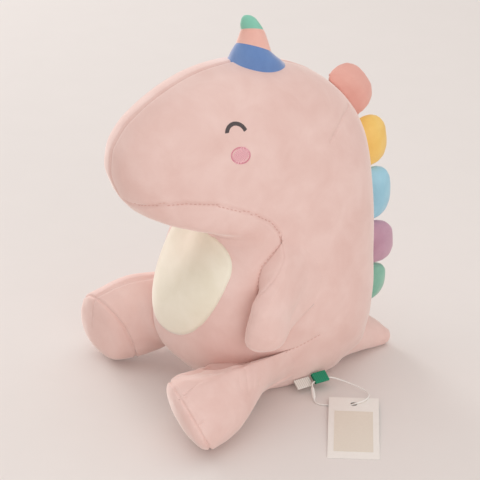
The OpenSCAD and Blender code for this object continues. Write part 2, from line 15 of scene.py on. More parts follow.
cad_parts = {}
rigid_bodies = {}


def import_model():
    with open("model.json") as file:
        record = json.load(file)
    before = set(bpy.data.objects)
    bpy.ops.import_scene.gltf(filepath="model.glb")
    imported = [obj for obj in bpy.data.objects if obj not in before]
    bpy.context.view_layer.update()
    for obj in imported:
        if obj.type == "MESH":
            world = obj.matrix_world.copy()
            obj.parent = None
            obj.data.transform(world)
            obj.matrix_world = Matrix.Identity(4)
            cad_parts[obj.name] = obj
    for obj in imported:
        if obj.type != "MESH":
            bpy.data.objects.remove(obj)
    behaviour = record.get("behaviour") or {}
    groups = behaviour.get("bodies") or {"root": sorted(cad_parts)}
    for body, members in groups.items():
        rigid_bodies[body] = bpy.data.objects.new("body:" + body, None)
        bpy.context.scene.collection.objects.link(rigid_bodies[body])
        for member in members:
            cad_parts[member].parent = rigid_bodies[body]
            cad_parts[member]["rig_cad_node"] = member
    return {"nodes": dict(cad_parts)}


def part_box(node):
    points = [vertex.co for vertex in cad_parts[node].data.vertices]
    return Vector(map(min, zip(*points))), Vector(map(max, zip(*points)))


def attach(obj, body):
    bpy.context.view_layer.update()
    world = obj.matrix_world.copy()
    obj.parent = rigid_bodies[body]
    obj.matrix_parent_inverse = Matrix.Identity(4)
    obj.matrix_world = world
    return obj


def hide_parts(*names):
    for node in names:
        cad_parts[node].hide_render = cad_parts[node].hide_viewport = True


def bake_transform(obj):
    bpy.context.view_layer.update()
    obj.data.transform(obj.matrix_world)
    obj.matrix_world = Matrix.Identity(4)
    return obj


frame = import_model()
MM = 0.001
scene = bpy.context.scene
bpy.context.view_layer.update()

# %% [markdown]
# The camera comes first, because everything is judged through it. The picture was taken from the toy's
# left front, a little above it, with a long lens, so the perspective is mild.

# %% Camera
turn, rise = math.radians(60.5), math.radians(26)
target = Vector((-10, -24, 150)) * MM
away = Vector((math.sin(turn) * math.cos(rise), -math.cos(turn) * math.cos(rise), math.sin(rise)))
image_right = Vector((math.cos(turn), math.sin(turn), 0))
bpy.ops.object.camera_add(location=target + away * 1.75)
camera = bpy.context.object
camera.rotation_euler = away.to_track_quat("Z", "Y").to_euler()
camera.data.sensor_width = 36
camera.data.lens = 131.25
scene.camera = camera
print("camera at", [round(v, 3) for v in camera.location])

# %% [markdown]
# Three small habits keep operators safe: everything is deselected before a piece is chosen, edit mode is
# entered for one operator on the whole piece and left again, and each modifier is set, then applied at
# once, so that a finished piece is a plain mesh. The points of a mesh are read and written as one table,
# which is the quick way to shape thousands of them by a rule.

# %% Choosing a piece, editing it and applying a modifier
def choose(piece):
    bpy.ops.object.select_all(action="DESELECT")
    piece.select_set(True)
    bpy.context.view_layer.objects.active = piece


def edit_all(piece, operator, **settings):
    choose(piece)
    bpy.ops.object.mode_set(mode="EDIT")
    bpy.ops.mesh.select_all(action="SELECT")
    operator(**settings)
    bpy.ops.object.mode_set(mode="OBJECT")


def apply(piece, kind, **settings):
    choose(piece)
    change = piece.modifiers.new(kind, kind)
    for name, value in settings.items():
        setattr(change, name, value)
    bpy.ops.object.modifier_apply(modifier=change.name)


def points_of(piece):
    flat = np.empty(len(piece.data.vertices) * 3)
    piece.data.vertices.foreach_get("co", flat)
    return flat.reshape(-1, 3)


def normals_of(piece):
    flat = np.empty(len(piece.data.vertices) * 3)
    piece.data.vertex_normals.foreach_get("vector", flat)
    return flat.reshape(-1, 3)


def set_points(piece, points):
    piece.data.vertices.foreach_set("co", np.asarray(points, float).ravel())
    piece.data.update()


# %% [markdown]
# A material is a tree of nodes. One function adds a node with its settings and its links, and one turns
# the colours, written as a painter would read them off a chart, into the linear values a shader needs.
# Every surface of the toy opens with Object coordinates, so that a pattern keeps its real size, and
# closes in one way: a pattern mixes two tones of one colour, another is the relief, and both go into
# one shader with the finish of the material.

# %% Nodes and colours
def add_node(tree, kind, sockets, **settings):
    made = tree.nodes.new(kind)
    for name, value in settings.items():
        setattr(made, name, value)
    for name, value in sockets.items():
        if isinstance(value, bpy.types.NodeSocket):
            tree.links.new(value, made.inputs[name])
        else:
            made.inputs[name].default_value = value
    return made


def linear(code):
    parts = [int(code[i:i + 2], 16) / 255 for i in (1, 3, 5)]
    return [p / 12.92 if p <= 0.04045 else ((p + 0.055) / 1.055) ** 2.4 for p in parts] + [1]


def open_surface(name):
    made = bpy.data.materials.new(name)
    made.use_nodes = True
    made.node_tree.nodes.clear()
    place = add_node(made.node_tree, "ShaderNodeTexCoord", {}).outputs["Object"]
    return made, made.node_tree, place


def close_surface(tree, tones, share, relief, strength, depth_mm, finish):
    tone = add_node(tree, "ShaderNodeMix", {"Factor": share, "A": linear(tones[1]), "B": linear(tones[0])},
                    data_type="RGBA")
    bump = add_node(tree, "ShaderNodeBump", {"Height": relief, "Strength": strength,
                                             "Distance": depth_mm * MM})
    shader = add_node(tree, "ShaderNodeBsdfPrincipled", {
        "Base Color": tone.outputs["Result"], "Normal": bump.outputs["Normal"], **finish})
    add_node(tree, "ShaderNodeOutputMaterial", {"Surface": shader.outputs["BSDF"]})


def dress(piece, material):
    piece.data.materials.clear()
    piece.data.materials.append(material)


# %% [markdown]
# The hang tag's string is a loop of soft nylon that ends in a small lock. It comes early, since its
# solid is the only one that reaches away from the toy. A Bezier curve with a round bevel is a string
# by nature; its handles repeat the smooth route of the CAD string through the fold of the tab, along
# the floor, up through the hole of the card and back to the lock.

# %% String route
tag_x = 55.3032
route = [
    (25, 10.5, 3), (27.6, 9.3, 1.9), (32, 9.8, 1.1), (36.5, 13, 1), (40, 17.5, 1), (45.5, 25.5, 1),
    (49, 31.3, 1.2), (52, 35, 2), (54.7, 38.7, 3.4), (56.8, 42.5, 5), (57.6, 47, 5.8), (56, 52.5, 5.6),
    (52.5, 57.5, 5), (46.5, 61.5, 4.3), (38.5, 62.5, 4), (29, 59, 5), (21, 54.5, 6.2), (14, 48.5, 8),
    (9.2, 42.5, 9.8), (7.8, 37, 10.5), (7.8, 30, 10.5), (7.8, 23, 10.5), (8.4, 19.6, 10.1),
    (9.8, 17.6, 9.5), (13, 15.8, 8.1)]
string_d = 1.5
way = [(Vector(p) + Vector((tag_x, 0, 0))) * MM for p in route]
bpy.ops.curve.primitive_bezier_curve_add()
string = bpy.context.object
string.name = "tag_string"
string.data.splines.clear()
spline = string.data.splines.new("BEZIER")
spline.bezier_points.add(len(way) - 1)
for i, knot in enumerate(spline.bezier_points):
    before = way[i - 1] if i else 2 * way[0] - way[1]
    after = way[i + 1] if i + 1 < len(way) else 2 * way[-1] - way[-2]
    knot.handle_left_type = knot.handle_right_type = "FREE"
    knot.co = way[i]
    knot.handle_left = way[i] - (after - before) / 6
    knot.handle_right = way[i] + (after - before) / 6
string.data.bevel_depth = string_d / 2 * MM
string.data.bevel_resolution = 3
string.data.resolution_u = string.data.render_resolution_u = 8
string.data.use_fill_caps = True

# %% [markdown]
# Plush skins start as copies of the CAD panels. The filling's copy is fattened until it touches them,
# so that a voxel remesh sees one solid and wraps it in an even net of squares, the weave that cloth
# simulation likes best.

# %% Copies of CAD nodes, wrapped in an even net
def copy_nodes(name, nodes, fatten=0, shift=(0, 0, 0)):
    bpy.ops.object.select_all(action="DESELECT")
    for node in nodes:
        mesh = frame["nodes"][node].data.copy()
        mesh.materials.clear()
        mesh.transform(Matrix.Translation(Vector(shift)))
        twin = bpy.data.objects.new(name, mesh)
        scene.collection.objects.link(twin)
        twin.select_set(True)
        bpy.context.view_layer.objects.active = twin
    if len(nodes) > 1:
        bpy.ops.object.join()
    piece = bpy.context.object
    edit_all(piece, bpy.ops.mesh.remove_doubles, threshold=0.001 * MM)
    if fatten:
        apply(piece, "DISPLACE", strength=fatten * MM, mid_level=0)
    return piece


def join(name, pieces):
    choose(pieces[0])
    for piece in pieces:
        piece.select_set(True)
    if len(pieces) > 1:
        bpy.ops.object.join()
    bpy.context.object.name = name
    return bpy.context.object


def largest_part(piece):
    name = piece.name
    edit_all(piece, bpy.ops.mesh.separate, type="LOOSE")
    parts = sorted(bpy.context.selected_objects, key=lambda p: len(p.data.vertices))
    for small in parts[:-1]:
        bpy.data.objects.remove(small)
    parts[-1].name = name
    return parts[-1]


def wrapped(name, pieces, voxel, smooth):
    piece = join(name, pieces)
    apply(piece, "REMESH", mode="VOXEL", voxel_size=voxel * MM)
    piece = largest_part(piece)
    apply(piece, "SMOOTH", factor=0.5, iterations=smooth)
    return piece


# %% [markdown]
# The stuffing pushes from inside. Blender's cloth with a little pressure does the same: held at the
# seams, the net swells between them. A cap keeps any point from travelling too far.

# %% Stuffing a skin
def puff(piece, held, cap, pressure=4, frames=20):
    rest = points_of(piece)
    group = piece.vertex_groups.new(name="held")
    for i, weight in enumerate(held):
        if weight > 0.02:
            group.add([i], float(min(1, weight)), "REPLACE")
    cloth = piece.modifiers.new("stuffing", "CLOTH")
    cloth.settings.use_pressure = True
    cloth.settings.uniform_pressure_force = pressure
    cloth.settings.vertex_group_mass = "held"
    cloth.settings.effector_weights.gravity = 0
    cloth.collision_settings.use_collision = False
    for step in range(1, frames + 1):
        scene.frame_set(step)
    stuffed = piece.evaluated_get(bpy.context.evaluated_depsgraph_get())
    swollen = points_of(stuffed)
    piece.modifiers.remove(cloth)
    piece.vertex_groups.clear()
    scene.frame_set(1)
    move = swollen - rest
    far = np.linalg.norm(move, axis=1)
    move *= np.minimum(1, cap * MM / np.maximum(far, 1e-9))[:, None]
    set_points(piece, rest + move)
    print(piece.name, "swelled", round(far.mean() / MM, 2), "mm on average")


# %% [markdown]
# Sewing needs distances: from every point of a skin to the CAD panels, to one spot, or to a seam drawn
# as a line of points in millimetres. A bell curve of that distance is a soft mask, 1 on the seam and 0
# away from it, and a table of seams gives each its depth, width and line.

# %% Distances and masks
def tree_of(mesh):
    return BVHTree.FromPolygons([v.co for v in mesh.vertices], [p.vertices for p in mesh.polygons])


def distance_to(points, nodes):
    trees = [tree_of(frame["nodes"][n].data) for n in nodes]
    return np.array([min(t.find_nearest(Vector(p))[3] for t in trees) for p in points])


def line_distance(points, line):
    line = np.array(line) * MM
    nearest = np.full(len(points), 1.0)
    for a, b in zip(line[:-1], line[1:]):
        share = np.clip((points - a) @ (b - a) / ((b - a) @ (b - a)), 0, 1)
        nearest = np.minimum(nearest, np.linalg.norm(points - a - share[:, None] * (b - a), axis=1))
    return nearest


def bell(distance, width):
    return np.exp(-(distance / (width * MM)) ** 2)


def around(points, spot, width, stretch=1):
    return bell(np.linalg.norm((points - np.array(spot) * MM) * stretch, axis=1), width)


def along_lines(mask, points, lines):
    for depth, width, line in lines:
        mask = np.maximum(mask, depth * bell(line_distance(points, line), width))
    return mask


def ease(value, low, high):
    share = np.clip((value - low) / (high - low), 0, 1)
    return share * share * (3 - 2 * share)


def both_sides(line):
    return [line, [(-x, y, z) for x, y, z in line]]


# %% [markdown]
# A mask can do three things to a skin. Pressing moves its points inwards, or outwards by a negative
# depth; refining divides the faces under the mask, so that a narrow groove has enough points; and
# softening smooths them. A skin that lies on the floor is flattened there.

# %% Pressing, refining and softening
def press(piece, mask, depth):
    set_points(piece, points_of(piece) - normals_of(piece) * (depth * MM * mask)[:, None])


def refine(piece, mask):
    faces = np.array([mask[list(p.vertices)].max() > 0.05 for p in piece.data.polygons])
    choose(piece)
    bpy.context.tool_settings.mesh_select_mode = (False, False, True)
    bpy.ops.object.mode_set(mode="EDIT")
    bpy.ops.mesh.select_all(action="DESELECT")
    bpy.ops.object.mode_set(mode="OBJECT")
    piece.data.polygons.foreach_set("select", faces)
    bpy.ops.object.mode_set(mode="EDIT")
    bpy.ops.mesh.subdivide(number_cuts=1)
    bpy.ops.object.mode_set(mode="OBJECT")


def soften(piece, mask, rounds):
    group = piece.vertex_groups.new(name="soft")
    for i, share in enumerate(mask):
        group.add([i], float(share), "REPLACE")
    apply(piece, "SMOOTH", factor=0.5, iterations=rounds, vertex_group="soft")
    piece.vertex_groups.clear()


def rest_on_floor(piece):
    at = points_of(piece)
    at[:, 2] = np.maximum(at[:, 2], 0)
    set_points(piece, at)
    choose(piece)
    bpy.ops.object.shade_smooth()


# %% [markdown]
# Head and body are one bag of five panels. A seam is where two panels meet, so the distance to the
# second nearest panel tells how far the nearest seam is: it holds the cloth while the bag is stuffed,
# and later it draws the sewn groove. Stuffing never fills a bag evenly: this belly bulges low down and
# recedes under the chin, more on the toy's right. The skin as it is before any seam is pressed in is
# kept, because arms, legs, horn and tail are laid on it.

# %% Body skin
panels = ["left_side_panel", "right_side_panel", "chin_panel", "belly_panel", "base_panel"]
sewn_on = ["horn_base_band", "tail_cover", "left_arm_inner", "right_arm_inner", "care_label", "seam_tab",
           "left_leg_outer", "right_leg_outer", "left_leg_inner", "right_leg_inner"]
belly_at, belly_out = (-34, -92, 48), [-8 * MM, -14 * MM, 0]
chest_at, chest_in = (-34, -92, 172), [10 * MM, 17 * MM, 0]


def panel_seams(points):
    trees = [tree_of(frame["nodes"][n].data) for n in panels]
    table = np.array([[t.find_nearest(Vector(p))[3] for t in trees] for p in points])
    order = np.sort(table, axis=1)
    to_seam = np.sqrt(np.maximum(0, order[:, 1] ** 2 - order[:, 0] ** 2))
    two = np.argsort(table, axis=1)[:, :2]
    under_arm = (two.max(axis=1) == panels.index("belly_panel")) & (two.min(axis=1) < 2)
    return to_seam, under_arm


body = wrapped("body_plush", [copy_nodes("panels", panels),
                              copy_nodes("cores", ["head_filling", "body_filling"], fatten=5)], 4.5, 14)
at = points_of(body)
to_seam, under_arm = panel_seams(at)
held = np.maximum(bell(to_seam, 6), bell(distance_to(at, sewn_on), 8))
held = np.maximum(held, (at[:, 2] < 4 * MM) * 1.0)
puff(body, held, 8)
at = points_of(body)
at += np.outer(around(at, belly_at, 46, (1, 1, 0.8)), belly_out)
at += np.outer(around(at, chest_at, 44, (1, 1, 1.1)), chest_in)
set_points(body, at)
apply(body, "SUBSURF", levels=1, render_levels=1)
smooth_skin = tree_of(body.data)


def height_over(points):
    near = [smooth_skin.find_nearest(Vector(p)) for p in points]
    return np.array([(Vector(p) - n[0]).dot(n[1]) for p, n in zip(points, near)])


print("body skin:", len(body.data.vertices), "points")

# %% [markdown]
# The seam under the arm is hidden on the real toy, so it is not pressed in, and near the arm the other
# panel seams fade out. The seams that show there are drawn as lines instead: the end of the mouth seam,
# the front of the armhole, the seam over the hip and the dart behind the brow.

# %% Body seams
dart = [(30.8, 74.6, 289.6), (48.2, 56.7, 286.7), (58.2, 43.7, 279.5), (65.5, 32.6, 272)]
hip_seam = [(60.9, -63, 51.6), (66.5, -56, 57), (71.2, -45.1, 59.6), (73.9, -33.1, 61),
            (75.7, -20.5, 62.9), (76.8, -8.5, 64.6), (77.6, 3.6, 68.4), (77.9, 17.3, 72.7)]
mouth_bend = [(78.1, -73.8, 229.3), (81.1, -62.7, 224.9), (82.7, -50.6, 217.6), (83.6, -43.6, 212.2),
              (84.7, -37.6, 205), (85.2, -33.5, 196.9), (86.2, -31.7, 189.5)]
armpoint = np.array([88, -27, 199]) * MM
armhole = [(86.2, -31.7, 189.5), (86.1, -33.8, 187.9), (85.7, -44.5, 178.7), (84.2, -53.4, 168.7),
           (83.8, -56.4, 158.6), (83.5, -57.3, 148), (83.9, -55.2, 136.9)]
seam_table = [(0.35, 2.2, hip_seam), (0.9, 1.9, mouth_bend), (0.4, 1.6, armhole), (0.7, 1.6, dart)]
drawn_seams = [(depth, width, one) for depth, width, line in seam_table for one in both_sides(line)]


def body_seams(points):
    to_seam, under_arm = panel_seams(points)
    from_arm = np.linalg.norm(np.abs(points * [1, 0, 0]) + points * [0, 1, 1] - armpoint, axis=1)
    mask = np.where(under_arm, 0, bell(to_seam, 1.9)) * ease(from_arm, 40 * MM, 60 * MM)
    return along_lines(mask, points, drawn_seams)


refine(body, body_seams(points_of(body)))
press(body, body_seams(points_of(body)), 2.1)
rest_on_floor(body)
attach(body, "toy body")
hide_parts(*panels, "head_filling", "body_filling")
skin = tree_of(body.data)
print("sewn body:", len(body.data.vertices), "points")

# %% [markdown]
# An arm is a flat mitten. Its outer panel is cut in one with the flank, so behind and above there is no
# seam. In front it stays full, with a sewn edge, and a strip of its inner panel runs from there to the
# armhole. The pattern below is drawn like a tailor's. At each station down the arm it gives, in
# millimetres across the flank, the sewn edge, or ridge, the armhole, and the line where the outer panel
# has faded into the flank, and, in millimetres above the flank, the ridge and the crest of the stuffing.

# %% Arm pattern
shoulder = np.array([0, -27, 199]) * MM
arm_long = np.array([0, -30, -112]) * MM
arm_back = np.array([0, 112, -30]) / math.hypot(112, 30)
hand_edge = [(98.4, -70, 134), (97, -76.6, 117), (95, -76, 104), (92, -68, 92), (89, -55, 86),
             (88, -42, 90)]
stations = [0, .05, .09, .12, .18, .21, .27, .31, .36, .40, .44, .50, .57, .64, .80, .90, 1]
cut_arm = {
    "ridge": [-2.6, -3.4, -3.7, -3.3, -2.9, -3.9, -6.1, -7.7, -9.4, -11.6, -13.8, -17.2, -21, -24.7,
              -26.7, -22.7, -8],
    "hole": [-2.6, -3.6, -4.2, -5.2, -9.4, -11.6, -15.3, -17.7, -18, -17.9, -17.3, -16, -15, -14,
             -12, -10, -5],
    "high": [-2, -1.5, 0.6, 3.4, 8.6, 10.4, 12.6, 13.4, 14, 14.5, 15, 14.2, 14.3, 14.5, 15, 14, 11],
    "crest": [-2, -1.5, 0.8, 3.8, 9.2, 11.2, 14, 15.4, 17, 18.5, 20, 22.5, 25, 27, 27, 23, 14],
    "flank": [8, 14, 20, 26, 38, 44, 52, 56, 60, 62, 63, 63, 60, 56, 42, 28, 10]}


def on_flank(down, across, high):
    y, z = (shoulder + arm_long * down + arm_back * across)[1:]
    spot, out, _, _ = smooth_skin.ray_cast(Vector((0.25, y, z)), Vector((-1, 0, 0)))
    return np.array(spot + out * high)


arm_edge = [on_flank(d, r * MM, h * MM) / MM for d, r, h in
            zip(stations[:12], cut_arm["ridge"], cut_arm["high"])] + hand_edge
print("arm edge:", len(arm_edge), "points")

# %% [markdown]
# The mitten is stuffed as a bag of its own and then laid on the flank by the pattern. Each of its points
# is known by its share of the arm's length and by its angle around the arm; for that angle the pattern
# says how far across the flank the point goes, and how high. The hand hangs free and keeps its shape.

# %% Left arm
left_arm = wrapped("left_arm_plush", [
    copy_nodes("arm_panels", ["left_arm_outer", "left_arm_inner"]),
    copy_nodes("arm_core", ["left_arm_filling"], fatten=2)], 2.6, 6)
puff(left_arm, bell(line_distance(points_of(left_arm), arm_edge), 5), 4)
apply(left_arm, "SUBSURF", levels=1, render_levels=1)
widest, hand_longer = 0.62, 0.045


def hand_half(root, full, down):
    grown = root + (full - root) * np.sin(np.pi / 2 * np.clip(down / widest, 0, 1))
    rounded = np.sqrt(np.clip(1 - (np.clip(down - widest, 0, None) / (1 - widest)) ** 2.4, 0.01, 1))
    return grown * rounded * MM / 2


at = points_of(left_arm)
at += np.outer(ease((at - shoulder) @ arm_long / (arm_long @ arm_long), 0.6, 1), arm_long * hand_longer)
down = np.clip((at - shoulder) @ arm_long / (arm_long @ arm_long), 0, 1)
across = (at - shoulder) @ arm_back
wide, thick = hand_half(10, 52, down), hand_half(5.4, 34, down)
high = height_over(at)
turned = np.degrees(np.arctan2(high / thick - 1, across / wide))
ridge, hole, edge, crest, flank = (np.interp(down, stations, row) * MM for row in cut_arm.values())
angles = np.array([-180, -150, -115, -60, 0, 22, 45, 90, 135, 180])
under = np.full(len(at), -0.7 * MM)
lies_across = np.stack([ridge, (ridge + hole) / 2, hole, (hole + flank) / 2] +
                       [ridge + (flank - ridge) * far for far in (1, 0.84, 0.62, 0.34, 0.1, 0)], axis=1)
lies_high = np.stack([edge, edge / 2, under, under, under] +
                     [crest * tall for tall in (0.01, 0.18, 0.64, 1)] + [edge], axis=1)
sector = np.clip(np.searchsorted(angles, turned) - 1, 0, 8)
part = (turned - angles[sector]) / (angles[sector + 1] - angles[sector])
row = np.arange(len(at))
new_across = lies_across[row, sector] * (1 - part) + lies_across[row, sector + 1] * part
new_high = lies_high[row, sector] * (1 - part) + lies_high[row, sector + 1] * part
to_front, to_back = ease(down, 0.7, 0.4), ease(down, 0.95, 0.6)
share = to_front + (to_back - to_front) * (1 + np.cos(np.radians(turned))) / 2
for i in np.flatnonzero(share > 0):
    at[i] += share[i] * (on_flank(down[i], new_across[i], new_high[i]) - at[i])
set_points(left_arm, at)
apply(left_arm, "SMOOTH", factor=0.5, iterations=8)
press(left_arm, bell(line_distance(points_of(left_arm), arm_edge), 1.4), 1.2)
print("left arm:", len(left_arm.data.vertices), "points")

# %% [markdown]
# The right arm is the left one's mirror image with its own mesh, turned inside out again, because a
# mirror flips it. It hangs a little further back, since in the picture none of it shows past the chest.

# %% Right arm
choose(left_arm)
bpy.ops.object.duplicate()
right_arm = bpy.context.object
right_arm.name = "right_arm_plush"
set_points(right_arm, points_of(right_arm) * np.array([-1, 1, 1]))
edit_all(right_arm, bpy.ops.mesh.flip_normals)
bpy.ops.transform.rotate(value=math.radians(-14), orient_axis="X", center_override=tuple(shoulder))
bpy.ops.object.transform_apply(location=True, rotation=True, scale=True)
for side, sign, arm in (("left", 1, left_arm), ("right", -1, right_arm)):
    choose(arm)
    bpy.ops.object.shade_smooth()
    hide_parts(*[f"{side}_arm_{part}" for part in ("outer", "inner", "filling")])
    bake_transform(arm)
print("right arm:", len(right_arm.data.vertices), "points")

# %% [markdown]
# Plush that is sewn into a seam flows into its neighbour, so the root of a leg or of the tail needs two
# helpers. One draws it out like the mouth of a trumpet, less so above, where the seam shows. The other
# moves one side of it back along the skin and lays it down there until it fades away.

# %% Flowing into the skin
tucked_in, laid_flat, laid_under = 0.7, 0.95, 0.9


def flow_out(piece, start, direction, spread, height, less_above):
    at = points_of(piece)
    direction = Vector(direction).normalized()
    for i, point in enumerate(at):
        spot, out, _, _ = smooth_skin.find_nearest(Vector(point))
        side = Vector(point) - Vector(start)
        side -= direction * side.dot(direction)
        side = (side - out * side.dot(out)).normalized()
        above = max(0, side.z) ** 2
        high = (Vector(point) - spot).dot(out)
        near = math.exp(-(high / (height * (1 + above) * MM)) ** 2)
        at[i] += (np.array(side) * (spread - less_above * above) - np.array(out) * tucked_in) * MM * near
    set_points(piece, at)


def lay_down(piece, start, direction, reach, facing, move):
    at = points_of(piece)
    start, direction = np.array(start), np.array(direction)
    ahead = (at - start) @ direction / np.linalg.norm(direction)
    side = at - start - np.outer(ahead, direction) / np.linalg.norm(direction)
    facing = side @ np.array(facing) / np.linalg.norm(side, axis=1)
    outside = height_over(at) > 0
    fade = ease(ahead, reach[0] * MM, reach[1] * MM) * ease(facing, -0.2, 0.7)
    fade = np.maximum(fade, ease(ahead, 14 * MM, -8 * MM) * outside)
    at += fade[:, None] * np.array(move) * MM
    for i in np.flatnonzero(fade):
        spot, out, _, _ = smooth_skin.find_nearest(Vector(at[i]))
        lift = (Vector(at[i]) - spot).dot(out)
        at[i] -= np.array(out) * (lift * laid_flat + laid_under * MM) * fade[i]
    set_points(piece, at)


# %% [markdown]
# A leg is a sleeve closed by a round sole, with a seam along its top. The near one shows how such a
# leg is gathered: short folds run out of its top seam, and two tucks take up cloth beside the sole.

# %% Leg pattern
hips = {"left": (64, -52, 43), "right": (-66, -50, 57)}
toes = {"left": (96, -139, 37), "right": (-105, -127, 37)}
top_seam = [(80, -66, 66), (88.4, -78.5, 70), (92.1, -97.1, 73.8), (94.6, -115.9, 75),
            (101.7, -135.9, 73.5), (108.3, -151.1, 70.6)]
gathers = [(0.5, 2.4, [(92.5, -76.1, 67.5), (100.3, -78.2, 61.1), (106, -80.3, 53)]),
           (0.35, 2, [(89.4, -68, 65.5), (96, -68.6, 60), (102, -71.5, 51)]),
           (0.25, 2.2, [(98, -86.9, 68), (103, -88.3, 63.5), (109, -91.5, 57)]),
           (0.3, 1.8, [(86, -61, 63), (92, -61.5, 57), (97, -63, 49)])]
tucks = [(0.9, 1.5, [(109, -157.8, 66.4), (110, -151, 68.5)]),
         (0.9, 1.5, [(131.9, -148.1, 47.4), (131, -142, 49)])]


def between(points, some, others):
    return np.sqrt(np.abs(distance_to(points, some) ** 2 - distance_to(points, others) ** 2))


def leg_seams(points, side, sleeve, sole):
    mask = bell(between(points, [sole], sleeve), 1.5)
    if side == "left":
        return along_lines(mask, points, [(0.7, 1.6, top_seam)] + gathers + tucks)
    top = bell(between(points, sleeve[:1], sleeve[1:]), 1.6) * (points[:, 2] > 40 * MM)
    return np.maximum(mask, 0.7 * top)


def ahead_of(points, hip, along):
    return (points - np.array(hip)) @ np.array(along)


print("folds and tucks:", len(gathers) + len(tucks))

# %% [markdown]
# The toy sits a little twisted, so the two legs lie differently. The far thigh swells upwards, and the
# sole of that foot is pushed forwards under a higher instep. The near leg stays below the hip seam, or
# its sewn line would be covered: the top is trimmed to a ramp that rises outwards from the seam, before
# its root is drawn out and again afterwards, and the inner side of the top is pressed flat.

# %% Far leg and near leg
far_thigh, far_instep = (-90, -82, 80), (-106, -106, 76)
sole_push = np.array([9, -16, 0]) * MM
inner_top = np.array([-0.38, 0.22, 0.9])
back_and_out, front_and_out = np.array([0.49, 0.87, 0]), np.array([0.87, -0.49, 0])
ramp_slope = 0.49


def shape_far_leg(leg, hip, along):
    press(leg, around(points_of(leg), far_thigh, 40) * normals_of(leg)[:, 2].clip(0), -8)
    at = points_of(leg)
    toe_end = ease(ahead_of(at, hip, along), 25 * MM, 85 * MM)
    at += np.outer(toe_end * ease(at[:, 2], 66 * MM, 4 * MM), sole_push)
    at[:, 2] += 5 * MM * around(at, far_instep, 30) * ease(at[:, 2], 40 * MM, 64 * MM)
    set_points(leg, at)


def shape_near_leg(leg, hip, along):
    at = points_of(leg)
    lift = np.maximum(height_over(at), 0)
    _, seam_y, seam_z = zip(*hip_seam)
    over = np.interp(at[:, 1] / MM, seam_y, seam_z) * MM
    at[:, 2] = np.minimum(at[:, 2], over + lift * (0.3 + lift / (30 * MM)) + 0.5 * MM)
    set_points(leg, at)
    ahead = ahead_of(points_of(leg), hip, along)
    press(leg, ease(normals_of(leg) @ inner_top, 0.6, 0.98) * bell(ahead - 56 * MM, 32), 11)


def trim_near_leg(leg):
    at = points_of(leg)
    seam = np.array(hip_seam) * MM
    beside, out = at @ back_and_out, at @ front_and_out
    from_seam = out - np.interp(beside, seam @ back_and_out, seam @ front_and_out)
    ramp = np.interp(beside, seam @ back_and_out, seam[:, 2]) + ramp_slope * from_seam + 1 * MM
    trim = ease(beside, -33 * MM, -22 * MM) * np.maximum(at[:, 2] - ramp, 0)
    at[:, 2] -= trim * ease(from_seam, 62 * MM, 40 * MM)
    set_points(leg, at)


# %% [markdown]
# Each leg is made from its own solids. Its filling is copied a second time, pushed into the body, so
# that the finished leg runs on inside the hip and no gap opens there.

# %% Legs
legs = {}
for side, own_shape in (("left", shape_near_leg), ("right", shape_far_leg)):
    hip, toe = Vector(hips[side]) * MM, Vector(toes[side]) * MM
    along = (toe - hip).normalized()
    sleeve, sole = [f"{side}_leg_outer", f"{side}_leg_inner"], f"{side}_sole"
    leg = wrapped(f"{side}_leg_plush", [
        copy_nodes("leg_panels", sleeve + [sole]),
        copy_nodes("leg_core", [f"{side}_leg_filling"], fatten=2.4),
        copy_nodes("leg_plug", [f"{side}_leg_filling"], fatten=1.6, shift=-12 * MM * along)], 2.8, 7)
    at = points_of(leg)
    puff(leg, np.maximum(bell(between(at, [sole], sleeve), 5), (at[:, 2] < 4 * MM) * 1.0), 5)
    own_shape(leg, hip, along)
    lay_down(leg, hip, along, (60, 10), (math.copysign(0.94, hip.x), 0.34, 0), (0, 36, 0))
    flow_out(leg, hip, along, 11, 8, less_above=8)
    soften(leg, ease(ahead_of(points_of(leg), hip, along), 62 * MM, 30 * MM), 12)
    if side == "left":
        trim_near_leg(leg)
    apply(leg, "SMOOTH", factor=0.5, iterations=3)
    apply(leg, "SUBSURF", levels=1, render_levels=1)
    refine(leg, leg_seams(points_of(leg), side, sleeve, sole))
    press(leg, leg_seams(points_of(leg), side, sleeve, sole), 2)
    rest_on_floor(leg)
    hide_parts(*sleeve, sole, f"{side}_leg_filling")
    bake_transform(leg)
    legs[side] = leg
    print(leg.name, len(leg.data.vertices), "points")

# %% [markdown]
# The horn is sewn from three rings of plush over one filling. A sphere is drawn out into the whole horn:
# each row of its net becomes one ring, read off the photograph as the place of its middle, its half
# width, its tilt and how far its near side hangs, so that the tip hooks forward and the foot flares. The
# foot is dropped onto the head.

# %% Horn
horn_rings = np.array([(-21.8, 388.5, 0, 0, 0), (-21.6, 387.6, 3.9, 0, 0), (-20.5, 384.7, 7, -1.1, 0),
                       (-18.8, 378.6, 9.6, -1.4, 0), (-16.2, 372.6, 11.2, 0.5, 0.3),
                       (-15.3, 364.2, 14.2, 8.6, 0.5), (-14.9, 354.6, 17.7, 13.6, 0.9),
                       (-13.3, 348.2, 22.7, 9.6, 4.2), (-11, 341.6, 28.8, 6.1, 8),
                       (-11, 339.2, 29.8, 6.6, 9), (-11, 339.2, 0, 6.6, 0)])
near_side, right_side = np.array(away), np.array(image_right)
upper_side = np.cross(near_side, right_side)


def horn_place(row, angle):
    y, z, half, tilt, hang = (np.interp(row, range(11), column) for column in horn_rings.T)
    tilt = np.radians(tilt)[:, None]
    aside = right_side * np.cos(tilt) - upper_side * np.sin(tilt)
    middle = np.stack([y * 0, y, z], axis=1)
    return (middle + aside * (half * np.cos(angle))[:, None] + near_side * (half * np.sin(angle))[:, None]
            - upper_side * (hang * np.sin(angle))[:, None]) * MM, aside


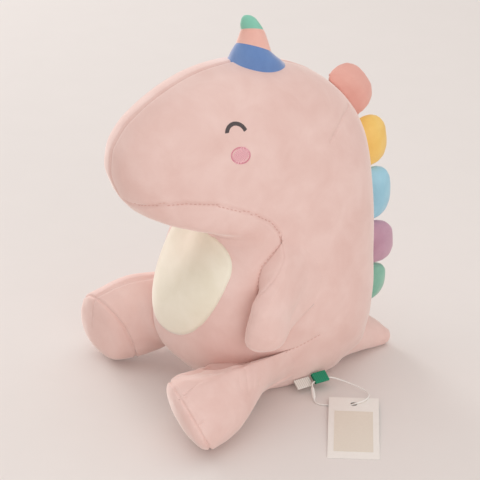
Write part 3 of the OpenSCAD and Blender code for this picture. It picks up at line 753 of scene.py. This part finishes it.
bpy.ops.object.select_all(action="DESELECT")
bpy.ops.mesh.primitive_uv_sphere_add(segments=40, ring_count=40, radius=1, location=(0, 0, 0))
whole_horn = bpy.context.object
at = points_of(whole_horn)
row = np.arccos(np.clip(at[:, 2], -1, 1)) / np.pi * 10
at, _ = horn_place(row, np.arctan2(at[:, 1], at[:, 0]))
for i in np.flatnonzero(row > 7.3):
    spot, out, _, _ = smooth_skin.find_nearest(Vector(at[i]))
    low = np.array(spot) - np.array(out) * 3 * MM * max(0, row[i] - 8)
    at[i] += (low - at[i]) * ease(row[i], 7.3, 8)
set_points(whole_horn, at)
edit_all(whole_horn, bpy.ops.mesh.normals_make_consistent, inside=False)
apply(whole_horn, "SMOOTH", factor=0.5, iterations=3)
apply(whole_horn, "SUBSURF", levels=1, render_levels=1)
print("whole horn:", len(whole_horn.data.vertices), "points")

# %% [markdown]
# The horn is cut into its bands with the bisect tool, in the plane of a ring, because bands cut from one
# shape meet without a step. Each rim is pulled in a little first, as a seam does.

# %% Horn bands
horn_nodes = ["horn_base_band", "horn_middle_band", "horn_tip"]


def cut_at(row):
    edge, aside = horn_place(np.array([row, row]), np.array([0, np.pi]))
    return edge.mean(axis=0), np.cross(near_side, aside[0])


cuts = [cut_at(6), cut_at(4)]
at = points_of(whole_horn)
for middle, lean in cuts:
    ring = at - middle - ((at - middle) @ lean)[:, None] * lean
    pull = bell(np.abs((at - middle) @ lean), 1.1) * 0.5 * MM
    at -= ring / np.linalg.norm(ring, axis=1)[:, None] * pull[:, None]
set_points(whole_horn, at)
horn_bands = []
for band, kept in zip(horn_nodes, ([(0, True)], [(0, False), (1, True)], [(1, False)])):
    choose(whole_horn)
    bpy.ops.object.duplicate()
    piece = bpy.context.object
    piece.name = band + "_plush"
    bpy.ops.object.mode_set(mode="EDIT")
    for cut, below in kept:
        bpy.ops.mesh.select_all(action="SELECT")
        bpy.ops.mesh.bisect(plane_co=cuts[cut][0], plane_no=cuts[cut][1], use_fill=True,
                            clear_outer=below, clear_inner=not below)
    bpy.ops.object.mode_set(mode="OBJECT")
    bpy.ops.object.shade_smooth_by_angle(angle=math.radians(60))
    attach(piece, "toy body")
    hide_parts(band)
    horn_bands.append(piece)
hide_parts("horn_filling")
bpy.data.objects.remove(whole_horn)
print("horn bands:", [len(p.data.vertices) for p in horn_bands], "points")

# %% [markdown]
# The scales are small bags of two pieces of plush, turned out and sewn into the back seam. A copy of
# the filling, pushed into the back, closes the foot, and a groove around the middle is the sewn rim.
# Stuffed scales nearly touch, so each is drawn out a little along the seam and away from the back.

# %% Spine scales
scale_pieces = []
body_middle = Vector((0, -27, 199)) * MM
plumper = [(1.06, 1), (1, 1), (1.14, 1.05), (1.02, 1.25), (1.18, 1)]
for n, (longer, prouder) in enumerate(plumper, 1):
    low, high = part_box(f"scale_{n}_cover")
    middle = (Vector(low) + Vector(high)) / 2
    foot = body_middle - middle
    foot.x = 0
    piece = wrapped(f"scale_{n}_plush", [
        copy_nodes("cover", [f"scale_{n}_cover"]),
        copy_nodes("core", [f"scale_{n}_filling"], fatten=1.6),
        copy_nodes("foot", [f"scale_{n}_filling"], fatten=-1, shift=foot.normalized() * 9 * MM)], 1.8, 6)
    apply(piece, "SUBSURF", levels=1, render_levels=1)
    outward = -foot.normalized()
    root, _, _, _ = skin.ray_cast(middle + outward * 80 * MM, -outward)
    at = points_of(piece)
    off, out = at - np.array(root), np.array(outward)
    up_back = np.cross([1, 0, 0], out)
    at += np.outer((off @ up_back) * (longer - 1), up_back)
    at += np.outer(np.maximum(off @ out, 0) * (prouder - 1), out)
    set_points(piece, at)
    rim = np.abs(normals_of(piece)[:, 0]) < 0.75
    press(piece, bell(np.abs(at[:, 0]), 1) * rim, 0.9)
    choose(piece)
    bpy.ops.object.shade_smooth()
    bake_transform(piece)
    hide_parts(f"scale_{n}_cover", f"scale_{n}_filling")
    scale_pieces.append(piece)
print("scales:", [len(p.data.vertices) for p in scale_pieces], "points")

# %% [markdown]
# The tail is a short cone that lies on the floor behind the seat. It flows out of the back as the legs
# flow out of the hips, and the back seam runs on along its top.

# %% Tail
tail_root, tail_tip = (0, 60, 38), (14, 134, 10)
tail = wrapped("tail_plush", [copy_nodes("cover", ["tail_cover"]),
               copy_nodes("core", ["tail_filling"], fatten=2.4),
               copy_nodes("plug", ["tail_filling"], fatten=1.6, shift=(0, -8 * MM, 2 * MM))], 3, 8)
press(tail, ease(points_of(tail)[:, 1], 96 * MM, 112 * MM), -3)
tail_line = Vector(tail_tip) - Vector(tail_root)
for sign in (1, -1):
    lay_down(tail, Vector(tail_root) * MM, tail_line, (76, 40), (sign, 0, 0), (0, -32, 0))
flow_out(tail, Vector(tail_root) * MM, tail_line, 8, 9, less_above=5)
apply(tail, "SMOOTH", factor=0.5, iterations=3)
apply(tail, "SUBSURF", levels=1, render_levels=1)
at = points_of(tail)
aside = at[:, 0] - 14 * MM * ease(at[:, 1], 95 * MM, 134 * MM)
press(tail, bell(np.abs(aside), 1.8) * (normals_of(tail)[:, 2] > 0), 1.4)
rest_on_floor(tail)
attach(tail, "toy body")
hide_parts("tail_cover", "tail_filling")
print("tail:", len(tail.data.vertices), "points")

# %% [markdown]
# The pale belly patch is an egg of short plush, squarer above and leaning with the belly, laid on and
# stitched around its turned-in edge. A filled circle is inset ring by ring, stretched to the egg, and
# dropped onto the puffed belly with a shrinkwrap, so that it follows every swell; then its middle is
# lifted like a thin cushion.

# %% Belly patch
patch_wide, patch_above, patch_below, patch_at = 64.5, 40, 82, (4.5, 151)
lean, squareness, cushion, sunk_edge, before_belly = 0.18, 2.5, 2.6, 0.6, -121.0
rings = 16
bpy.ops.object.select_all(action="DESELECT")
bpy.ops.mesh.primitive_circle_add(vertices=96, radius=1, fill_type="NGON", rotation=(math.pi / 2, 0, 0))
patch = bpy.context.object
patch.name = "belly_patch_plush"
bpy.ops.object.transform_apply(location=False, rotation=True, scale=False)
bpy.ops.object.mode_set(mode="EDIT")
bpy.ops.mesh.select_all(action="SELECT")
for _ in range(rings - 1):
    bpy.ops.mesh.inset(thickness=1 / rings)
bpy.ops.mesh.poke()
bpy.ops.object.mode_set(mode="OBJECT")
at = points_of(patch)
from_middle = np.hypot(at[:, 0], at[:, 2])
upper = at[:, 2] > 0
reach = (np.abs(at[:, [0, 2]]) ** squareness).sum(axis=1) ** (-1 / squareness)
square = np.where(upper, reach * from_middle, 1)
high = at[:, 2] * np.where(upper, patch_above, patch_below) * square
set_points(patch, np.stack([patch_at[0] + at[:, 0] * patch_wide * square + lean * high,
                            np.full(len(at), before_belly), patch_at[1] + high], axis=1) * MM)
apply(patch, "SHRINKWRAP", target=body, wrap_method="PROJECT", use_project_x=False, use_project_y=True,
      use_project_z=False, use_positive_direction=True, use_negative_direction=False)
apply(patch, "SMOOTH", factor=0.5, iterations=6, use_x=False, use_z=False)
out = np.array([skin.find_nearest(Vector(p))[1] for p in points_of(patch)])
crown = cushion * np.sqrt(np.clip(1 - from_middle ** 6, 0, 1)) - sunk_edge
set_points(patch, points_of(patch) + out * (crown * MM)[:, None])
apply(patch, "SOLIDIFY", thickness=1.2 * MM, offset=-1)
choose(patch)
bpy.ops.object.shade_smooth()
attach(patch, "toy body")
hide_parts("belly_patch")
print("patch:", (np.ptp(points_of(patch), axis=0) / MM).round(), "mm")

# %% [markdown]
# Thread is what the face is made of, and what shows along the seams. One stitch is modelled once: a
# small ball with six sides, pulled out in the middle. Every other stitch is a copy, turned along its
# line, sunk at both ends, and gathered with its neighbours into one piece.

# %% One stitch
bpy.ops.object.select_all(action="DESELECT")
bpy.ops.mesh.primitive_uv_sphere_add(segments=6, ring_count=4, radius=0.5)
stitch = bpy.context.object
edit_all(stitch, bpy.ops.transform.rotate, value=math.pi / 2, orient_axis="Y", center_override=(0, 0, 0))
stitch_points = points_of(stitch)
stitch_points[:, 0] += 0.5 * np.sign(np.round(stitch_points[:, 0], 4))
stitch_faces = [list(p.vertices) for p in stitch.data.polygons]
bpy.data.objects.remove(stitch)
print("one stitch has", len(stitch_faces), "faces")


def sew(name, places, thick):
    points, faces = [], []
    for middle, along, out, length in places:
        along = (along - out * along.dot(out)).normalized()
        across = out.cross(along)
        basis = np.array([along * length / 2, across * thick, out * thick]) * MM
        local = stitch_points.copy()
        local[:, 2] += 0.25 - 0.45 * local[:, 0] ** 2
        faces += [[i + len(points) * len(local) for i in face] for face in stitch_faces]
        points.append(local @ basis + np.array(middle))
    mesh = bpy.data.meshes.new(name)
    mesh.from_pydata(np.concatenate(points).tolist(), [], faces)
    piece = bpy.data.objects.new(name, mesh)
    scene.collection.objects.link(piece)
    edit_all(piece, bpy.ops.mesh.normals_make_consistent, inside=False)
    bpy.ops.object.shade_smooth()
    print(name, "has", len(places), "stitches")
    return piece


# %% [markdown]
# Seams that show their thread: the mouth seam, the front of the armhole and the hip seam. Each is a
# line of points, walked step by step, and every stitch is dropped onto the skin. Over the hip, leg and
# body lie side by side, so there it takes the outer one of the two.

# %% Seam stitches
seam_step, seam_stitch = 4.2, 2.8


def walk(line, step):
    line = np.array(line)
    far = np.concatenate([[0], np.cumsum(np.linalg.norm(np.diff(line, axis=0), axis=1))])
    stops = np.arange(step / 2, far[-1], step)
    return np.stack([np.interp(stops, far, line[:, k]) for k in range(3)], axis=1)


def seam_places(line, covers):
    stops = [Vector(p) * MM for p in walk(line, seam_step)]
    places = []
    for i, stop in enumerate(stops):
        hits = [cover.find_nearest(stop) for cover in covers]
        spot, out, _, _ = max(hits, key=lambda hit: abs(hit[0].x))
        along = stops[min(i + 1, len(stops) - 1)] - stops[max(i - 1, 0)]
        places.append((spot, along.normalized(), out, seam_stitch))
    return places


border = np.array([v.co for v in frame["nodes"]["chin_panel"].data.vertices])
border = border[distance_to(border, ["left_side_panel"]) < 0.6 * MM] / MM
border = border[np.argsort(-border[:, 0])]
mouth = [border[np.abs(border[:, 0] - x) < 1.5].mean(axis=0) for x in border[::4, 0] if x < 74]
mouth = mouth_bend[::-1] + [tuple(p) for p in mouth]
places = []
for line in both_sides(mouth) + both_sides(armhole[1:]):
    places += seam_places(line, [skin])
for leg, line in zip(legs.values(), both_sides(hip_seam)):
    places += seam_places(line, [skin, tree_of(leg.data)])
seam_thread = sew("seam_stitches", places, 0.8)
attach(seam_thread, "toy body")

# %% [markdown]
# The closed eyes and the cheeks are machine embroidery. An eye is satin stitch: short threads side by
# side across a bent band. A cheek is filled with rows of running stitch, each row shifted by half a
# stitch as in brickwork, and closed by a satin rim in a darker thread.

# %% Eyes and cheeks
eye_at, eye_r, eye_w = (-67, 298.3), 9.1, 3.8
cheek_at, cheek_r, cheek_flat, cheek_lean = (-67, 279.9), 9.3, 0.8, 0.25
row_gap, fill_step, fill_stitch, satin_slant = 0.85, 2.6, 2.7, 0.25


def flank_spot(sign, y, z):
    spot, out, _, _ = skin.ray_cast(Vector((sign * 200, y, z)) * MM, Vector((-sign, 0, 0)))
    return spot, out


def satin(sign, centre, radius, wide, first, last, step, flat=1):
    places = []
    for angle in np.arange(first, last, step / radius):
        y, z = math.cos(angle), math.sin(angle)
        spot, out = flank_spot(sign, centre[0] + radius * y, centre[1] + radius * z * flat)
        places.append((spot, Vector((0, y - satin_slant * z, z + satin_slant * y)), out, wide))
    return places


face = {}
for side, sign in (("left", 1), ("right", -1)):
    face[f"{side}_eye"] = sew(f"{side}_eye_satin", satin(
        sign, eye_at, eye_r, eye_w + 0.6, math.radians(16), math.radians(166), 0.62), 0.95)
    fill = []
    for row, z in enumerate(np.arange(-cheek_r + 1, cheek_r - 0.5, row_gap)):
        wide = math.sqrt(cheek_r ** 2 - z ** 2)
        for y in np.arange(-wide + 1.2 * (row % 2), wide, fill_step):
            spot, out = flank_spot(sign, cheek_at[0] + y + cheek_lean * z, cheek_at[1] + cheek_flat * z)
            if abs(y) < wide - 1.2:
                fill.append((spot, Vector((0, 1, 0.12)), out, fill_stitch))
    face[f"{side}_cheek"] = sew(f"{side}_cheek_fill", fill, 1)
    face[f"{side}_rim"] = sew(f"{side}_cheek_rim", satin(
        sign, cheek_at, cheek_r - 0.5, 1.6, 0, 2 * math.pi, 0.7, flat=cheek_flat), 0.9)
    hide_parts(f"{side}_eye")
    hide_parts(f"{side}_cheek")
for piece in face.values():
    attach(piece, "toy body")

# %% [markdown]
# Two ribbons are sewn into the seam above the seat: a white care label and a green tab that holds the
# tag's string. Both are left bare. Each is a strip folded in half: its edge is pushed out step by step
# with extrude, round the fold and back, and the finished strip gets its thickness.

# %% Ribbons
droop = math.radians(30)
ribbon_out = Vector((math.cos(droop), 0, -math.sin(droop)))
ribbon_up = Vector((math.sin(droop), 0, math.cos(droop)))


def folded_ribbon(name, root, wide, long, fold, node):
    turn_r = fold / 2 + 0.25
    steps = [(u, turn_r) for u in np.linspace(0.3, long - turn_r, 6)]
    steps += [(long - turn_r + turn_r * math.cos(a), turn_r * math.sin(a))
              for a in np.radians((60, 30, 0, -30, -60))]
    steps += [(u, -turn_r) for u in np.linspace(long - turn_r, 0.3, 6)]
    path = [Vector(root) * MM + (ribbon_out * u + ribbon_up * v) * MM for u, v in steps]
    bpy.ops.object.select_all(action="DESELECT")
    bpy.ops.mesh.primitive_plane_add(size=1)
    piece = bpy.context.object
    piece.name = name
    half = wide / 2 * MM
    set_points(piece, [path[0] - Vector((0, half, 0)), path[1] - Vector((0, half, 0)),
                       path[0] + Vector((0, half, 0)), path[1] + Vector((0, half, 0))])
    bpy.context.tool_settings.mesh_select_mode = (True, False, False)
    bpy.ops.object.mode_set(mode="EDIT")
    bpy.ops.mesh.select_all(action="DESELECT")
    bpy.ops.object.mode_set(mode="OBJECT")
    for vertex in piece.data.vertices:
        vertex.select = (vertex.co - path[1]).length < half * 1.01
    bpy.ops.object.mode_set(mode="EDIT")
    for before, after in zip(path[1:-1], path[2:]):
        bpy.ops.mesh.extrude_region_move(TRANSFORM_OT_translate={"value": after - before})
    bpy.ops.object.mode_set(mode="OBJECT")
    edit_all(piece, bpy.ops.mesh.normals_make_consistent, inside=False)
    apply(piece, "SOLIDIFY", thickness=0.35 * MM, offset=0)
    bpy.ops.object.shade_smooth_by_angle(angle=math.radians(50))
    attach(piece, "toy body")
    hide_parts(node)
    return piece


def ribbon_root(node):
    low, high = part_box(node)
    return (low[0] / MM, (low[1] + high[1]) / 2 / MM)


care_x, care_y = ribbon_root("care_label")
care_label = folded_ribbon("care_label_ribbon", (care_x, care_y, 12), 18, 11, 0.4, "care_label")
seam_tab = folded_ribbon("seam_tab_ribbon", (tag_x, 29.5, 15), 16, 12, string_d + 0.8, "seam_tab")

# %% [markdown]
# Short plush, knitted polyester with a brushed pile of about two millimetres. Where the hand has
# stroked it the pile lies over and the colour shifts a little, in soft blotches a few centimetres
# wide; the pile itself is a fine, dull grain, and its tips catch light at a glancing angle, as sheen.

# %% Short plush
def short_plush(name, *tones, nap_mm=34, pile_mm=1.6):
    made, tree, place = open_surface(name)
    nap = add_node(tree, "ShaderNodeTexNoise", {"Vector": place, "Scale": 1000 / nap_mm, "Detail": 4,
                                                "Roughness": 0.55, "Distortion": 0.4})
    stroked = add_node(tree, "ShaderNodeMapRange", {"Value": nap.outputs["Fac"], "From Min": 0.3,
                                                    "From Max": 0.7})
    pile = add_node(tree, "ShaderNodeTexNoise", {"Vector": place, "Scale": 1000 / pile_mm, "Detail": 3,
                                                 "Roughness": 0.65})
    close_surface(tree, tones, stroked.outputs["Result"], pile.outputs["Fac"], 0.3, 0.5, {
        "Roughness": 0.95, "Specular IOR Level": 0.15, "Sheen Weight": 0.9, "Sheen Roughness": 0.36,
        "Sheen Tint": linear("#fff6f1")})
    return made


pink = short_plush("brushed pink plush", "#f1d3cc", "#e9c6be")
for piece in (body, left_arm, right_arm, legs["left"], legs["right"], tail):
    dress(piece, pink)
dress(horn_bands[0], short_plush("brushed blue plush", "#7d9dd0", "#6a8ac0"))
dress(horn_bands[1], short_plush("brushed coral plush", "#f7cabe", "#f0baad"))
dress(horn_bands[2], short_plush("brushed mint plush", "#a0dcc8", "#88cbb5"))
scale_tints = [("coral plush", "#efb9ad", "#e7aa9e"), ("yellow plush", "#fdd884", "#f5c96e"),
               ("light blue plush", "#abdaed", "#9bcbdf"), ("mauve plush", "#cfa8bb", "#c198ac"),
               ("green plush", "#95c9b5", "#84b7a3")]
for piece, (slot, lit, deep) in zip(scale_pieces, scale_tints):
    dress(piece, short_plush("brushed " + slot, lit, deep))
dress(patch, short_plush("brushed cream plush", "#fbf5e4", "#f3ecd8"))
print("plush colours:", len({p.active_material.name for p in [body, patch] + horn_bands + scale_pieces}))

# %% [markdown]
# Embroidery thread is twisted rayon: smooth, so it shines softly along its length, with a fine twist
# that is drawn here about twice as coarse as the real one, so that it shows. Sewing thread for seams is
# dull spun polyester, a shade deeper than the plush.

# %% Threads
def twisted_thread(name, *tones, rough=0.5, sheen=0.1, twist_mm=0.5):
    made, tree, place = open_surface(name)
    twist = add_node(tree, "ShaderNodeTexNoise", {"Vector": place, "Scale": 1000 / twist_mm, "Detail": 2})
    close_surface(tree, tones, twist.outputs["Fac"], twist.outputs["Fac"], 0.25, 0.1, {
        "Roughness": rough, "Specular IOR Level": 0.35, "Sheen Weight": sheen})
    return made


grey_rayon = twisted_thread("twisted grey rayon thread", "#6a6163", "#4c4445")
rose_rayon = twisted_thread("twisted rose rayon thread", "#fbccd2", "#f0bac4")
deep_rose_rayon = twisted_thread("twisted deep rose rayon thread", "#eaa3b1", "#da8d9e")
pink_polyester = twisted_thread("spun pink polyester thread", "#e2b9af", "#d6a89d", rough=0.8, sheen=0.2)
for side in ("left", "right"):
    dress(face[f"{side}_eye"], grey_rayon)
    dress(face[f"{side}_cheek"], rose_rayon)
    dress(face[f"{side}_rim"], deep_rose_rayon)
dress(seam_thread, pink_polyester)
print("threads:", len(face) + 1, "pieces")

# %% [markdown]
# Ribbon is woven satin: fine threads across the strip, drawn as a wave a third of a millimetre long. The
# tag is coated card, smooth and faintly cloudy, and its sticker is uncoated paper with visible fibres.
# Moulded nylon is nearly as plain as card, so string and lock take the same tree with less roughness.

# %% Ribbon, card, sticker, nylon
def woven_ribbon(name, *tones, thread_mm=0.35):
    made, tree, place = open_surface(name)
    weave = add_node(tree, "ShaderNodeTexWave", {
        "Vector": place, "Scale": 1000 / thread_mm / 20, "Distortion": 0.6}, bands_direction="Y")
    close_surface(tree, tones, weave.outputs["Fac"], weave.outputs["Fac"], 0.3, 0.08, {
        "Roughness": 0.45, "Specular IOR Level": 0.4, "Sheen Weight": 0.2})
    return made


def paper_stock(name, *tones, fibre_mm, rough):
    made, tree, place = open_surface(name)
    cloud = add_node(tree, "ShaderNodeTexNoise", {"Vector": place, "Scale": 1000 / fibre_mm, "Detail": 5,
                                                  "Roughness": 0.6})
    close_surface(tree, tones, cloud.outputs["Fac"], cloud.outputs["Fac"], 0.12, 0.1, {
        "Roughness": rough, "Specular IOR Level": 0.4})
    return made


dress(care_label, woven_ribbon("woven white satin ribbon", "#f3f0ea", "#dedad2"))
dress(seam_tab, woven_ribbon("woven green satin ribbon", "#159a72", "#0d8160"))
card = paper_stock("coated white card", "#faf7f3", "#f3efe9", fibre_mm=6, rough=0.5)
sticker_paper = paper_stock("uncoated sticker paper", "#eee6da", "#e7ddcf", fibre_mm=2, rough=0.75)
nylon = paper_stock("moulded white nylon", "#fbfaf7", "#f1efea", fibre_mm=3, rough=0.4)
dress(frame["nodes"]["tag_card"], card)
dress(frame["nodes"]["tag_sticker"], sticker_paper)
dress(frame["nodes"]["cord_lock"], nylon)
dress(string, nylon)
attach(string, "toy body")
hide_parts("tag_cord")
print("tag string:", string_d, "mm thick")

# %% [markdown]
# The studio: a pale paper floor, a wide soft light above the toy, one low and far behind it, which gives
# snout and feet a bright rim, one low beside the camera, and white air all around.

# %% Studio
bpy.ops.object.select_all(action="DESELECT")
bpy.ops.mesh.primitive_plane_add(size=8)
floor = bpy.context.object
floor.name = "paper_floor"
backdrop = paper_stock("matt backdrop paper", "#eee8e5", "#ebe5e2", fibre_mm=60, rough=0.9)
floor.data.materials.append(backdrop)


def soft_light(name, place, size, watts):
    bpy.ops.object.light_add(type="AREA", location=place)
    lamp = bpy.context.object
    lamp.name = name
    lamp.data.size = size
    lamp.data.energy = watts
    lamp.rotation_euler = (Vector(place) - target).to_track_quat("Z", "Y").to_euler()


up = Vector((0, 0, 1))
flat_away = Vector((away.x, away.y, 0)).normalized()
soft_light("top softbox", target + up * 1.9 - image_right * 0.3 - flat_away * 0.2, 2.2, 10)
soft_light("back softbox", target + up * 0.55 - image_right * 2.1 - flat_away * 3.4, 1.4, 80)
soft_light("front softbox", target + up * 0.28 + image_right * 0.8 + flat_away * 1.9, 1.6, 13)
world = bpy.data.worlds.new("studio air")
scene.world = world
world.use_nodes = True
world.node_tree.nodes["Background"].inputs["Color"].default_value = linear("#fbf6f2")
world.node_tree.nodes["Background"].inputs["Strength"].default_value = 0.67
scene.view_settings.view_transform = "Standard"
